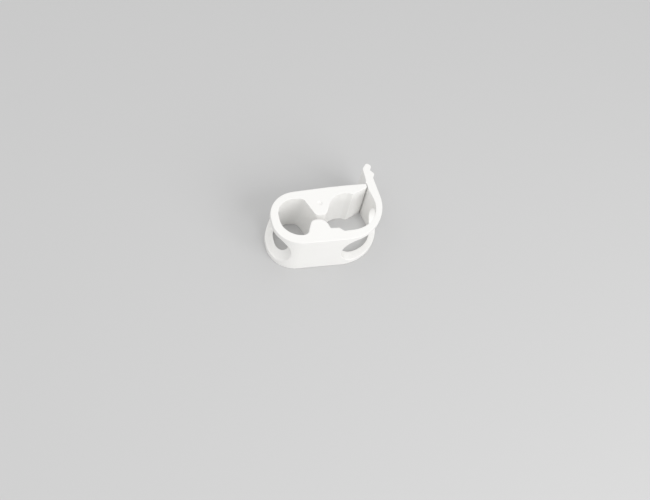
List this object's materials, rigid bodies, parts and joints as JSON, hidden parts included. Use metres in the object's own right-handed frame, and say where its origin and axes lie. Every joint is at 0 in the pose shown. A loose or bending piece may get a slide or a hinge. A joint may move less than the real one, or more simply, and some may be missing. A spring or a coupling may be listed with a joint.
{
  "type": "tubing pinch clamp",
  "caption": "Moulded plastic pinch clamp: toothed jaws on a springy hinge bow close across flexible tubing and snap under the catch of a latch wall with a thumb tab.",
  "frame": {"origin": "bottom centre of the clamp's box: it lies on one side face, on the plane Z = 0", "axes": "+X along the tubing from the hinge bow to the latch wall, +Y from the lower jaw to the upper jaw and the thumb tab, +Z across the strip, up from the side face it lies on"},
  "size_m": [0.052, 0.0406, 0.019],
  "materials": {
    "moulding": "satin, natural white acetal as it leaves the mould"
  },
  "bodies": {
    "lower_jaw": {"lower_jaw": "moulding"},
    "upper_jaw": {"upper_jaw": "moulding"},
    "latch": {"latch": "moulding"}
  },
  "joints": [
    {"name": "jaw_opening", "type": "hinge", "parent": "lower_jaw", "child": "upper_jaw", "pos_m": [-0.02604, -0.00625, 0.0095], "axis": [0, 0, 1], "range_deg": [0, 30]},
    {"name": "latch_release", "type": "hinge", "parent": "lower_jaw", "child": "latch", "pos_m": [0.01966, -0.01419, 0.0095], "axis": [0, 0, -1], "range_deg": [-0.8, 8], "stiffness_Nm_per_rad": 0.6}
  ]
}
